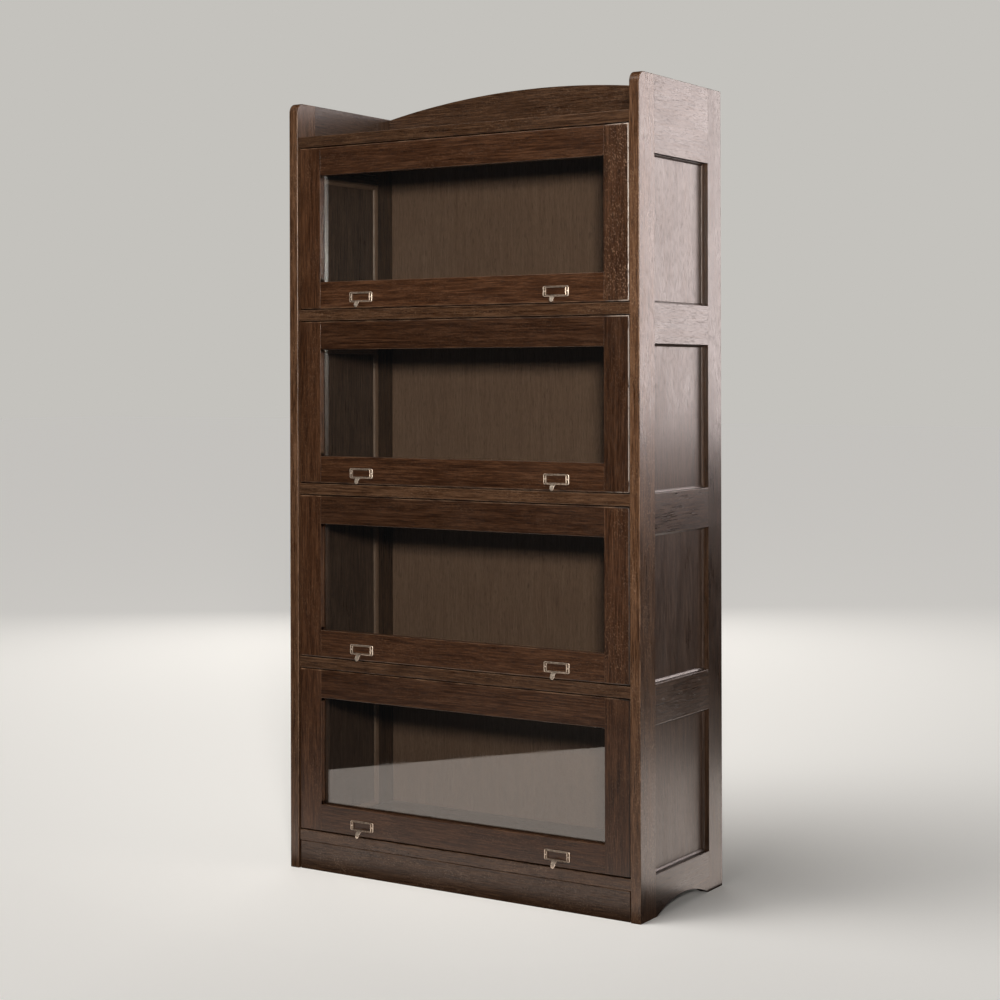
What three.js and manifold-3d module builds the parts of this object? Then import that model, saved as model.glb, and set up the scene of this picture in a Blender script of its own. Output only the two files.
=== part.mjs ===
// Barrister bookcase: frame-and-panel sides, four compartments with lift-and-slide glass doors.
// Millimetres, +Z up, front towards -Y. The origin is at the middle of the footprint, on the floor.

import * as THREE from 'three';
import { mergeVertices } from 'three/addons/utils/BufferGeometryUtils.js';
import Module from 'manifold-3d';

const wasm = await Module();
wasm.setup();

// ---------------------------------------------------------------- driving dimensions

const WIDTH = 927;              // over the two sides
const DEPTH = 381;              // front edge of the sides to the back
const SIDE_HEIGHT = 1778;
const SIDE_THICKNESS = 24;
const SIDE_CORNER_RADIUS = 22;  // front top corner of each side
const GAP = 0.3;                // between pieces that touch

const BOARD = 25;               // top board, shelves and bottom board
const KICK_HEIGHT = 65;
const KICK_THICKNESS = 20;
const KICK_END_GAP = 3.5;       // kick board to the side, at each end
const OPENING_HEIGHT = 377;     // clear height of one compartment
const COMPARTMENTS = 4;
const FRONT_SETBACK = 4;        // boards and doors behind the front edge of the sides

const FRONT_STILE = 67;
const REAR_STILE = 65;
const RAIL_BELOW_SHELF = 62;    // how far a side rail reaches below its shelf
const BOTTOM_RAIL = 90;
const ARCH_CHORD = 240;         // cut-out in the bottom rail
const ARCH_RISE = 26;

const PANEL_REVEAL = 9;         // outer face of the frame to the edge of the panel moulding
const MOULDING_WIDTH = 8;
const MOULDING_DEPTH = 5;
const PANEL_INNER_DEPTH = 18;   // outer face of the frame to the inner face of the panel

const BACK_THICKNESS = 6;
const GALLERY_THICKNESS = 18;
const GALLERY_END_HEIGHT = 78;  // above the top board, at the sides
const GALLERY_RISE = 46;

const DOOR_THICKNESS = 21;
const DOOR_SIDE_GAP = 2.5;
const DOOR_END_GAP = 2;         // above and below the door
const DOOR_STILE = 61;
const DOOR_TOP_RAIL = 65;
const DOOR_BOTTOM_RAIL = 62;
const GLASS_SETBACK = 13;       // front of the door to the glass
const GLASS_THICKNESS = 3;
const RABBET = 8;               // how far the glass rabbet reaches past the window
const GLASS_CLEARANCE = 1;

const PIN_RADIUS = 3.5;
const PIN_LENGTH = 25;
const PIN_BORE_CLEARANCE = 0.3;
const PIN_FROM_FACE = 13.5;     // pin axis behind the door's front face, a little behind its balance
const PIN_FROM_TOP = 40;        // pin axis below the door's top edge
const PIN_PROUD = 8;            // how far a pin stands out of the door's edge
const GROOVE_HEIGHT = 8;
const GROOVE_DEPTH = 7;
const DOOR_TRAVEL = 285;        // how far a raised door slides back
const DOOR_ARRIS = 2;           // eased front edge, which clears the shelf above as the door turns

const PULL_WIDTH = 64;
const PULL_HEIGHT = 23;
const PULL_PLATE = 1.8;
const PULL_FLANGE = 8;          // card frame, left and right
const PULL_BAR = 4;             // card frame, top and bottom
const PULL_LIP = 1.4;           // rim round the card window, proud of the plate
const PULL_LIP_WIDTH = 2;
const PULL_TAB_WIDTH = 12;
const PULL_TAB_THICKNESS = 2.2;
const PULL_TAB_REACH = 19;
const PULL_TAB_RADIUS = 15;
const PULL_ABOVE_EDGE = 13.5;   // door's bottom edge to the card frame
const PULL_INSET = 178;         // door's edge to the middle of the pull
const SEGMENTS = 24;            // round pins and corners

// ---------------------------------------------------------------- worked out from them

const HALF = WIDTH / 2;
const INNER = HALF - SIDE_THICKNESS;
const PULL_PROUD = GAP + PULL_PLATE + PULL_TAB_REACH;
const Y0 = (FRONT_SETBACK - PULL_PROUD + DEPTH) / 2;  // puts the whole object's middle on y = 0
const FRONT = -Y0;                                    // front edge of the sides
const BACK = DEPTH - Y0;
const FACE = FRONT + FRONT_SETBACK;                   // front of the boards and doors
const PITCH = OPENING_HEIGHT + BOARD;
const BOTTOM_TOP = KICK_HEIGHT + BOARD;               // upper face of the bottom board
const PANEL_FRONT = FRONT + FRONT_STILE;
const PANEL_BACK = BACK - REAR_STILE;
const BACK_FRONT = BACK - BACK_THICKNESS;             // front face of the back panel
const BOARD_BACK = BACK_FRONT - GAP;

const openingBottom = (n) => BOTTOM_TOP + (n - 1) * PITCH;   // n = 1 is the lowest compartment
const openingTop = (n) => openingBottom(n) + OPENING_HEIGHT;
const doorTop = (n) => openingTop(n) - DOOR_END_GAP;
const doorBottom = (n) => openingBottom(n) + DOOR_END_GAP;
const pinHeight = (n) => doorTop(n) - PIN_FROM_TOP;
const TOP_BOARD_TOP = openingTop(COMPARTMENTS) + BOARD;
const DOOR_HALF = INNER - DOOR_SIDE_GAP;
const GLASS_FRONT = FACE + GLASS_SETBACK;
const GLASS_BACK = GLASS_FRONT + GLASS_THICKNESS;
const DOOR_BACK = FACE + DOOR_THICKNESS;
const PIN_Y = FACE + PIN_FROM_FACE;
const GROOVE_FRONT = PIN_Y - PIN_RADIUS - GAP;
const GROOVE_BACK = PIN_Y + DOOR_TRAVEL + PIN_RADIUS + GAP;

// ---------------------------------------------------------------- materials

const wood = (hex) => new THREE.MeshStandardMaterial({ color: hex, roughness: 0.45, metalness: 0 });
const OAK = wood('#3a2a22');
const OAK_PANEL = wood('#40302a');
const OAK_DOOR = wood('#3c261d');
const GLASS = new THREE.MeshStandardMaterial({
  color: '#dfe8e6', roughness: 0.02, metalness: 0, transparent: true, opacity: 0.25,
});
const BRASS = new THREE.MeshStandardMaterial({ color: '#6f5f48', roughness: 0.42, metalness: 1 });
const STEEL = new THREE.MeshStandardMaterial({ color: '#8d8d8f', roughness: 0.35, metalness: 1 });

// ---------------------------------------------------------------- shapes

const bookcase = new THREE.Group();

function add(name, geometry, material) {
  const mesh = new THREE.Mesh(geometry, material.clone());
  mesh.name = name;
  bookcase.add(mesh);
  return mesh;
}

// A box between two corners.
function block(x0, x1, y0, y1, z0, z1) {
  const geometry = new THREE.BoxGeometry(x1 - x0, y1 - y0, z1 - z0);
  return geometry.translate((x0 + x1) / 2, (y0 + y1) / 2, (z0 + z1) / 2);
}

// Turns an extrusion so that the drawing's x, y are the object's y, z, and pushes it along X.
function alongX(shape, x0, length, options = {}) {
  const geometry = new THREE.ExtrudeGeometry(shape, {
    depth: length, bevelEnabled: false, curveSegments: SEGMENTS, ...options,
  });
  const turn = new THREE.Matrix4().set(
    0, 0, 1, x0,
    1, 0, 0, 0,
    0, 1, 0, 0,
    0, 0, 0, 1,
  );
  return geometry.applyMatrix4(turn);
}

// Turns an extrusion so that the drawing's x, y are the object's x, z, and pushes it along Y.
function alongY(shape, y0, length, options = {}) {
  const geometry = new THREE.ExtrudeGeometry(shape, {
    depth: length, bevelEnabled: false, curveSegments: SEGMENTS, ...options,
  });
  const turn = new THREE.Matrix4().set(
    1, 0, 0, 0,
    0, 0, -1, y0 + length,
    0, 1, 0, 0,
    0, 0, 0, 1,
  );
  return geometry.applyMatrix4(turn);
}

function cylinderX(radius, x0, x1, y, z) {
  const geometry = new THREE.CylinderGeometry(radius, radius, x1 - x0, SEGMENTS);
  return geometry.rotateZ(Math.PI / 2).translate((x0 + x1) / 2, y, z);
}

function rectangle(x0, x1, y0, y1) {
  const shape = new THREE.Shape();
  shape.moveTo(x0, y0);
  shape.lineTo(x1, y0);
  shape.lineTo(x1, y1);
  shape.lineTo(x0, y1);
  shape.closePath();
  return shape;
}

function solid(geometry) {
  const bare = geometry.clone();
  bare.deleteAttribute('normal');
  bare.deleteAttribute('uv');
  const merged = mergeVertices(bare, 1e-4);
  return new wasm.Manifold(new wasm.Mesh({
    numProp: 3,
    vertProperties: merged.attributes.position.array,
    triVerts: Uint32Array.from(merged.index.array),
  }));
}

function geometryOf(manifold) {
  const mesh = manifold.getMesh();
  const geometry = new THREE.BufferGeometry();
  geometry.setAttribute('position', new THREE.BufferAttribute(mesh.vertProperties, 3));
  geometry.setIndex(new THREE.BufferAttribute(mesh.triVerts, 1));
  return geometry;
}

function cut(geometry, tools) {
  return geometryOf(tools.reduce((rest, tool) => rest.subtract(solid(tool)), solid(geometry)));
}

function join(geometries) {
  return geometryOf(geometries.map(solid).reduce((whole, piece) => whole.add(piece)));
}

// ---------------------------------------------------------------- sides

// side is -1 for the left side and 1 for the right; x runs from the inner to the outer face.
function sideSpan(side, outerDepth, innerDepth) {
  const outer = side * (HALF - outerDepth);
  const inner = side * (HALF - innerDepth);
  return [Math.min(outer, inner), Math.max(outer, inner)];
}

// The groove that a door's guide pin runs in, for compartment n.
function pinGroove(side, n) {
  const [x0, x1] = sideSpan(side, SIDE_THICKNESS - GROOVE_DEPTH, SIDE_THICKNESS + 1);
  const z = pinHeight(n);
  return block(x0, x1, GROOVE_FRONT, GROOVE_BACK, z - GROOVE_HEIGHT / 2, z + GROOVE_HEIGHT / 2);
}

function frontStile(side) {
  const [x0] = sideSpan(side, 0, SIDE_THICKNESS);
  const shape = new THREE.Shape();
  const back = PANEL_FRONT - GAP / 2;
  shape.moveTo(FRONT, 0);
  shape.lineTo(back, 0);
  shape.lineTo(back, SIDE_HEIGHT);
  shape.lineTo(FRONT + SIDE_CORNER_RADIUS, SIDE_HEIGHT);
  shape.absarc(
    FRONT + SIDE_CORNER_RADIUS, SIDE_HEIGHT - SIDE_CORNER_RADIUS, SIDE_CORNER_RADIUS,
    Math.PI / 2, Math.PI, false,
  );
  shape.closePath();
  const post = alongX(shape, x0, SIDE_THICKNESS, { curveSegments: SEGMENTS / 2 });
  const grooves = Array.from({ length: COMPARTMENTS }, (_, i) => pinGroove(side, i + 1));
  return cut(post, grooves);
}

function rearStile(side) {
  const [x0, x1] = sideSpan(side, 0, SIDE_THICKNESS);
  return block(x0, x1, PANEL_BACK + GAP / 2, BACK, 0, SIDE_HEIGHT);
}

// A rail between the stiles. n is the compartment whose pin groove crosses it, or 0 for none.
function sideRail(side, z0, z1, n) {
  const [x0, x1] = sideSpan(side, 0, SIDE_THICKNESS);
  const rail = block(x0, x1, PANEL_FRONT + GAP / 2, PANEL_BACK - GAP / 2, z0, z1);
  return n ? cut(rail, [pinGroove(side, n)]) : rail;
}

// The arc over a chord, as three.js angles: centre height and half angle for a chord and a rise.
function arcOver(chord, rise) {
  const radius = (chord * chord / 4 + rise * rise) / (2 * rise);
  return { radius, half: Math.asin(chord / 2 / radius), drop: radius - rise };
}

function bottomRail(side) {
  const [x0] = sideSpan(side, 0, SIDE_THICKNESS);
  const start = PANEL_FRONT + GAP / 2;
  const end = PANEL_BACK - GAP / 2;
  const middle = (start + end) / 2;
  const { radius, half, drop } = arcOver(ARCH_CHORD, ARCH_RISE);
  const shape = new THREE.Shape();
  shape.moveTo(start, 0);
  shape.lineTo(middle - ARCH_CHORD / 2, 0);
  shape.absarc(middle, -drop, radius, Math.PI / 2 + half, Math.PI / 2 - half, true);
  shape.lineTo(end, 0);
  shape.lineTo(end, BOTTOM_RAIL);
  shape.lineTo(start, BOTTOM_RAIL);
  shape.closePath();
  return alongX(shape, x0, SIDE_THICKNESS, { curveSegments: SEGMENTS });
}

// A panel with a bevelled moulding round its outer face.
function sidePanel(side, z0, z1) {
  const y0 = PANEL_FRONT + GAP;
  const y1 = PANEL_BACK - GAP;
  const low = z0 + GAP;
  const high = z1 - GAP;
  const [x0, x1] = sideSpan(side, PANEL_REVEAL, PANEL_INNER_DEPTH);
  const field = rectangle(
    y0 + MOULDING_WIDTH, y1 - MOULDING_WIDTH, low + MOULDING_WIDTH, high - MOULDING_WIDTH,
  );
  const sunk = PANEL_REVEAL + MOULDING_DEPTH;
  const proud = 2;
  const slope = MOULDING_WIDTH / MOULDING_DEPTH;
  const floor = side * (HALF - sunk);
  // The cutter is the field, widened outwards along the bevel to just past the panel's own face.
  const start = side > 0 ? floor : floor - MOULDING_DEPTH - proud;
  const cutter = alongX(field, start, MOULDING_DEPTH + proud);
  const centreY = (y0 + y1) / 2;
  const centreZ = (low + high) / 2;
  const position = cutter.attributes.position;
  for (let i = 0; i < position.count; i += 1) {
    const height = Math.abs(position.getX(i) - floor);
    const spread = height * slope;
    const y = position.getY(i);
    const z = position.getZ(i);
    position.setY(i, y + Math.sign(y - centreY) * spread);
    position.setZ(i, z + Math.sign(z - centreZ) * spread);
  }
  return cut(block(x0, x1, y0, y1, low, high), [cutter]);
}

for (const [side, word] of [[-1, 'left'], [1, 'right']]) {
  add(`${word}_side_front_stile`, frontStile(side), OAK);
  add(`${word}_side_rear_stile`, rearStile(side), OAK);
  add(`${word}_side_bottom_rail`, bottomRail(side), OAK);
  const railBelow = (n) => openingTop(n) - RAIL_BELOW_SHELF;
  ['lower', 'middle', 'upper'].forEach((place, i) => {
    const n = i + 1;
    add(`${word}_side_${place}_rail`, sideRail(side, railBelow(n), openingBottom(n + 1), n), OAK);
  });
  add(`${word}_side_top_rail`, sideRail(side, railBelow(COMPARTMENTS), SIDE_HEIGHT, COMPARTMENTS), OAK);
  for (let n = 1; n <= COMPARTMENTS; n += 1) {
    add(`${word}_side_panel_${n}`, sidePanel(side, openingBottom(n), railBelow(n)), OAK_PANEL);
  }
}

// ---------------------------------------------------------------- boards and back

const BOARD_HALF = INNER - GAP;

function board(z0, z1, back = BOARD_BACK) {
  return block(-BOARD_HALF, BOARD_HALF, FACE, back, z0, z1);
}

add('bottom_board', board(KICK_HEIGHT, BOTTOM_TOP), OAK);
for (let n = 1; n < COMPARTMENTS; n += 1) {
  add(`shelf_${n}`, board(openingTop(n), openingTop(n) + BOARD), OAK);
}
add('top_board', board(openingTop(COMPARTMENTS), TOP_BOARD_TOP, BACK), OAK);
const KICK_HALF = INNER - KICK_END_GAP;
add('kick_board', block(
  -KICK_HALF, KICK_HALF, FACE, FACE + KICK_THICKNESS, 0, KICK_HEIGHT - GAP,
), OAK);
add('back_panel', block(
  -BOARD_HALF, BOARD_HALF, BACK_FRONT, BACK, KICK_HEIGHT, openingTop(COMPARTMENTS) - GAP,
), OAK_PANEL);

function galleryBoard() {
  const { radius, half, drop } = arcOver(2 * BOARD_HALF, GALLERY_RISE);
  const base = TOP_BOARD_TOP + GAP;
  const ends = TOP_BOARD_TOP + GALLERY_END_HEIGHT;
  const shape = new THREE.Shape();
  shape.moveTo(-BOARD_HALF, base);
  shape.lineTo(BOARD_HALF, base);
  shape.lineTo(BOARD_HALF, ends);
  shape.absarc(0, ends - drop, radius, Math.PI / 2 - half, Math.PI / 2 + half, false);
  shape.closePath();
  return alongY(shape, BACK - GALLERY_THICKNESS, GALLERY_THICKNESS, { curveSegments: 2 * SEGMENTS });
}
add('arched_gallery_board', galleryBoard(), OAK);

// ---------------------------------------------------------------- doors

// Half width, lowest and highest level of the window in door n.
function doorWindow(n) {
  return [DOOR_HALF - DOOR_STILE, doorBottom(n) + DOOR_BOTTOM_RAIL, doorTop(n) - DOOR_TOP_RAIL];
}

function doorFrame(n) {
  const z0 = doorBottom(n);
  const z1 = doorTop(n);
  const [wx, wz0, wz1] = doorWindow(n);
  const window = block(-wx, wx, FACE - 1, DOOR_BACK + 1, wz0, wz1);
  const rabbet = block(
    -wx - RABBET, wx + RABBET, GLASS_FRONT, DOOR_BACK + 1, wz0 - RABBET, wz1 + RABBET,
  );
  const deep = PIN_LENGTH - PIN_PROUD + 1;
  const radius = PIN_RADIUS + PIN_BORE_CLEARANCE;
  const bores = [-1, 1].map((side) => {
    const ends = [side * (DOOR_HALF - deep), side * (DOOR_HALF + 1)].sort((a, b) => a - b);
    return cylinderX(radius, ends[0], ends[1], PIN_Y, pinHeight(n));
  });
  const section = new THREE.Shape();
  section.moveTo(FACE + DOOR_ARRIS, z0);
  section.lineTo(DOOR_BACK, z0);
  section.lineTo(DOOR_BACK, z1);
  section.lineTo(FACE + DOOR_ARRIS, z1);
  section.lineTo(FACE, z1 - DOOR_ARRIS);
  section.lineTo(FACE, z0 + DOOR_ARRIS);
  section.closePath();
  return cut(alongX(section, -DOOR_HALF, 2 * DOOR_HALF), [window, rabbet, ...bores]);
}

function doorGlass(n) {
  const [wx, wz0, wz1] = doorWindow(n);
  const out = RABBET - GLASS_CLEARANCE;
  return block(-wx - out, wx + out, GLASS_FRONT + GAP, GLASS_BACK, wz0 - out, wz1 + out);
}

// A ring of beading that holds the glass from behind.
function glassBead(n) {
  const [wx, wz0, wz1] = doorWindow(n);
  const out = RABBET - GAP;
  const shape = rectangle(-wx - out, wx + out, wz0 - out, wz1 + out);
  const hole = new THREE.Path();
  hole.moveTo(-wx, wz0);
  hole.lineTo(-wx, wz1);
  hole.lineTo(wx, wz1);
  hole.lineTo(wx, wz0);
  hole.closePath();
  shape.holes.push(hole);
  return alongY(shape, GLASS_BACK + GAP, DOOR_BACK - GLASS_BACK - GAP);
}

// Card frame with a hooked finger tab under it. x is the middle of the pull.
function doorPull(n, x) {
  const z0 = doorBottom(n) + PULL_ABOVE_EDGE;
  const z1 = z0 + PULL_HEIGHT;
  const back = FACE - GAP;
  const front = back - PULL_PLATE;
  const half = PULL_WIDTH / 2;
  const plate = block(x - half, x + half, front, back, z0, z1);
  const cardHalf = half - PULL_FLANGE;
  const card = block(x - cardHalf, x + cardHalf, front - 5, back + 1, z0 + PULL_BAR, z1 - PULL_BAR);
  const lip = block(
    x - cardHalf - PULL_LIP_WIDTH, x + cardHalf + PULL_LIP_WIDTH,
    front - PULL_LIP, front + 0.5,
    z0 + PULL_BAR - PULL_LIP_WIDTH, z1 - PULL_BAR + PULL_LIP_WIDTH,
  );
  // The tab, in the y, z plane: out of the plate and down in a quarter turn.
  const top = z0 + PULL_BAR;
  const reach = front - PULL_TAB_REACH;
  const inner = PULL_TAB_RADIUS - PULL_TAB_THICKNESS;
  const shape = new THREE.Shape();
  const cy = reach + PULL_TAB_RADIUS;
  const cz = top - PULL_TAB_RADIUS;
  const tip = doorBottom(n) + 1;
  shape.moveTo(front + 0.5, top);
  shape.lineTo(cy, top);
  shape.absarc(cy, cz, PULL_TAB_RADIUS, Math.PI / 2, Math.PI, false);
  shape.lineTo(reach, tip);
  shape.lineTo(reach + PULL_TAB_THICKNESS, tip);
  shape.lineTo(reach + PULL_TAB_THICKNESS, cz);
  shape.absarc(cy, cz, inner, Math.PI, Math.PI / 2, true);
  shape.lineTo(front + 0.5, top - PULL_TAB_THICKNESS);
  shape.closePath();
  const tab = alongX(shape, x - PULL_TAB_WIDTH / 2, PULL_TAB_WIDTH, { curveSegments: 10 });
  return join([cut(join([plate, lip]), [card]), tab]);
}

function guidePin(n, side) {
  const inner = DOOR_HALF + PIN_PROUD - PIN_LENGTH;
  const ends = [side * inner, side * (DOOR_HALF + PIN_PROUD)].sort((a, b) => a - b);
  return cylinderX(PIN_RADIUS, ends[0], ends[1], PIN_Y, pinHeight(n));
}

for (let n = 1; n <= COMPARTMENTS; n += 1) {
  const pullX = DOOR_HALF - PULL_INSET;
  add(`door_${n}_frame`, doorFrame(n), OAK_DOOR);
  add(`door_${n}_glass`, doorGlass(n), GLASS);
  add(`door_${n}_glass_bead`, glassBead(n), OAK_DOOR);
  add(`door_${n}_pull_left`, doorPull(n, -pullX), BRASS);
  add(`door_${n}_pull_right`, doorPull(n, pullX), BRASS);
  add(`door_${n}_guide_pin_left`, guidePin(n, -1), STEEL);
  add(`door_${n}_guide_pin_right`, guidePin(n, 1), STEEL);
}

export default bookcase;
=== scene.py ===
"""Barrister bookcase in dark quarter-sawn oak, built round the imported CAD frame."""

import math
import random

import bmesh
import bpy
from mathutils import Matrix, Vector


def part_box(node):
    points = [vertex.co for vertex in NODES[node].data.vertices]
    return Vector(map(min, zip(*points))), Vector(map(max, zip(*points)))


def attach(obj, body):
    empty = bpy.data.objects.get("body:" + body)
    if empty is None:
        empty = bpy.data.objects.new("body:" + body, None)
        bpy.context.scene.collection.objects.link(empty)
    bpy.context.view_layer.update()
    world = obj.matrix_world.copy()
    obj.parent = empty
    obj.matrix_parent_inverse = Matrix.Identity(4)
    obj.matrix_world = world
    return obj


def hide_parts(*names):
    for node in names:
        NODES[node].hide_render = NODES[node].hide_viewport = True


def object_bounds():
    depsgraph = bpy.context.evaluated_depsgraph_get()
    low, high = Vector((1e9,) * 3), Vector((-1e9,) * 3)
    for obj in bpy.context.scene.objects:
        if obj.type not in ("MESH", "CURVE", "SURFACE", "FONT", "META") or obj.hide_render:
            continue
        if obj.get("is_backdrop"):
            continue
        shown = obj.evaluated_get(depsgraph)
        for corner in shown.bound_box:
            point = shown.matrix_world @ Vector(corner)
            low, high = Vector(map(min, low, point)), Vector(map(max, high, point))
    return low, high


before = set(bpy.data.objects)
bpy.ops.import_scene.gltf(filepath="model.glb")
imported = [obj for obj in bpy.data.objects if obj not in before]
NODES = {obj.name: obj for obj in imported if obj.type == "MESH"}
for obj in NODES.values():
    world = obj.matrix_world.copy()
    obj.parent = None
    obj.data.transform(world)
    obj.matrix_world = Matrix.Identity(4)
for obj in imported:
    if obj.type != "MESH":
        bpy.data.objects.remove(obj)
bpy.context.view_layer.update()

X, Y, Z = 0, 1, 2
MM = 0.001

# ------------------------------------------------------------ levels read from the frame

SIDES = ("left", "right")
DOORS = (1, 2, 3, 4)
DOOR_LOW, DOOR_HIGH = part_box("door_1_frame")
FACE = DOOR_LOW.y
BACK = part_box("back_panel")[1].y
RABBET = 7.7 * MM         # width of the rabbet in a door's frame, which the bead fills
WINDOW_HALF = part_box("door_1_glass_bead")[1].x - RABBET
SHARP = math.radians(30)  # edges sharper than this are rounded
HARD = math.radians(41)   # edges sharper than this are not shaded smooth
JOINT_DRAW = 0.12 * MM    # how far a butt joint is drawn up past the CAD's gap
MITRE_GAP = 0.12 * MM     # each end of a bead or bevel stops this far short of its mitre
ARRIS = 1.2 * MM          # radius of a case board's rounded edges
CREST_WIDTH = 0.9 * MM     # faces narrower than this belong to a rounded edge

# ------------------------------------------------------------ mesh tools


def linked(name, mesh):
    """A new object with this mesh, in the scene."""
    obj = bpy.data.objects.new(name, mesh)
    bpy.context.scene.collection.objects.link(obj)
    return obj


def mesh_of(name, bm):
    """A new mesh from this bmesh, which is freed."""
    mesh = bpy.data.meshes.new(name)
    bm.to_mesh(mesh)
    bm.free()
    return mesh


def cad_copy(node, name, whole=True):
    """The CAD node's solid as a new object. whole joins the triangles of its flat faces."""
    source = NODES[node].data
    bm = bmesh.new()
    verts = [bm.verts.new(v.co) for v in source.vertices]
    for polygon in source.polygons:
        bm.faces.new([verts[i] for i in polygon.vertices])
    bmesh.ops.remove_doubles(bm, verts=bm.verts, dist=1e-5)
    if whole:
        flatten(bm)
    return linked(name, mesh_of(name, bm))


def flatten(bm):
    """Joins triangles that lie in one plane."""
    bmesh.ops.dissolve_limit(
        bm, angle_limit=math.radians(0.8), verts=bm.verts, edges=bm.edges,
    )
    bmesh.ops.recalc_face_normals(bm, faces=bm.faces)


def apply_modifiers(obj):
    """Replaces the object's mesh with what its modifiers make of it."""
    graph = bpy.context.evaluated_depsgraph_get()
    mesh = bpy.data.meshes.new_from_object(obj.evaluated_get(graph))
    old = obj.data
    obj.modifiers.clear()
    obj.data = mesh
    bpy.data.meshes.remove(old)


def block(low, high):
    """A box between two corners, as a bmesh."""
    bm = bmesh.new()
    size = Vector(high) - Vector(low)
    middle = (Vector(high) + Vector(low)) / 2
    place = Matrix.Translation(middle) @ Matrix.Diagonal((*size, 1))
    bmesh.ops.create_cube(bm, size=1, matrix=place)
    return bm


def keep_inside(obj, low, high):
    """Cuts the object down to what lies between two corners."""
    cutter = linked("cutter", mesh_of("cutter", block(low, high)))
    cut = obj.modifiers.new("cut", "BOOLEAN")
    cut.operation = "INTERSECT"
    cut.solver = "EXACT"
    cut.object = cutter
    apply_modifiers(obj)
    bpy.data.objects.remove(cutter)
    bm = bmesh.new()
    bm.from_mesh(obj.data)
    bmesh.ops.remove_doubles(bm, verts=bm.verts, dist=2e-5)
    flatten(bm)
    bm.to_mesh(obj.data)
    bm.free()


def soften(obj, radius, planes=(), clamp=True):
    """Rounds every sharp edge. Edges in one of the planes, (axis, level, radius), get its radius."""
    largest = max([radius, *(own for _, _, own in planes)])
    bm = bmesh.new()
    bm.from_mesh(obj.data)
    weight = bm.edges.layers.float.new("bevel_weight_edge")
    for edge in bm.edges:
        if len(edge.link_faces) != 2 or edge.calc_face_angle() < SHARP:
            continue
        edge[weight] = radius / largest
        for axis, level, own in planes:
            if all(abs(vert.co[axis] - level) < 5e-5 for vert in edge.verts):
                edge[weight] = own / largest
    bm.to_mesh(obj.data)
    bm.free()
    arris = obj.modifiers.new("arris", "BEVEL")
    arris.limit_method = "WEIGHT"
    arris.width = largest
    arris.segments = 3
    arris.use_clamp_overlap = clamp
    apply_modifiers(obj)


def smooth(obj):
    """Shades flat faces flat and rounded edges round."""
    bm = bmesh.new()
    bm.from_mesh(obj.data)
    for face in bm.faces:
        face.smooth = True
    for edge in bm.edges:
        edge.smooth = len(edge.link_faces) == 2 and edge.calc_face_angle() < HARD
    bm.to_mesh(obj.data)
    bm.free()
    normals = obj.modifiers.new("normals", "WEIGHTED_NORMAL")
    normals.keep_sharp = True
    normals.weight = 60


def mark_edges(mesh):
    """Stores 1 on the crest of each rounded edge and 0 on the faces, for the rubbed finish, which on
    oak is partly a painted highlight.
    """
    bm = bmesh.new()
    bm.from_mesh(mesh)
    worn_and_highlit = bm.verts.layers.float.get("edge") or bm.verts.layers.float.new("edge")
    narrow = set()
    for face in bm.faces:
        if 2 * face.calc_area() < face.calc_perimeter() * CREST_WIDTH:
            narrow.add(face)
    for vert in bm.verts:
        if vert.link_faces and all(face in narrow for face in vert.link_faces):
            vert[worn_and_highlit] = 1
    bm.to_mesh(mesh)
    bm.free()


def board_axes(mesh):
    """The axes along, across and through a board: its longest, middle and shortest."""
    extents = []
    for axis in (X, Y, Z):
        values = [v.co[axis] for v in mesh.vertices]
        extents.append((max(values) - min(values), axis))
    return [axis for _, axis in sorted(extents, reverse=True)]


def lay_grain(mesh, seed, fleck=0.35, tone=None):
    """Stores where each point lies in its board, in metres, and how the board differs."""
    rng = random.Random(seed)
    axes = board_axes(mesh)
    shift = [rng.uniform(0, 4) for _ in range(3)]
    wander = rng.uniform(-1, 1) if tone is None else tone
    rays = fleck * rng.uniform(0.6, 1.3)
    places = []
    for vert in mesh.vertices:
        places.extend(vert.co[axis] + shift[k] for k, axis in enumerate(axes))
    mesh.attributes.new("grain", "FLOAT_VECTOR", "POINT").data.foreach_set("vector", places)
    count = len(mesh.vertices)
    mesh.attributes.new("tone", "FLOAT", "POINT").data.foreach_set("value", [wander] * count)
    mesh.attributes.new("fleck", "FLOAT", "POINT").data.foreach_set("value", [rays] * count)


def loft(loops, ring=False):
    """A closed skin over loops of points. A ring joins the last loop to the first."""
    bm = bmesh.new()
    rows = [[bm.verts.new(point) for point in loop] for loop in loops]
    pairs = list(zip(rows, rows[1:]))
    if ring:
        pairs.append((rows[-1], rows[0]))
    for a, b in pairs:
        for i in range(len(a)):
            j = (i + 1) % len(a)
            bm.faces.new((a[i], a[j], b[j], b[i]))
    if not ring:
        bm.faces.new(rows[0])
        bm.faces.new(rows[-1])
    bmesh.ops.recalc_face_normals(bm, faces=bm.faces)
    return bm


def merged(name, meshes):
    """One mesh from several, which are removed."""
    bm = bmesh.new()
    for mesh in meshes:
        bm.from_mesh(mesh)
        bpy.data.meshes.remove(mesh)
    return mesh_of(name, bm)


def dress(obj, body, slot, finish, *nodes):
    """Gives a finished piece its material, its body and the CAD nodes it stands for."""
    obj.data.materials.clear()
    obj.data.materials.append(finish)
    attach(obj, body)
    if nodes:
        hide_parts(*nodes)


# ------------------------------------------------------------ material tools


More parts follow.
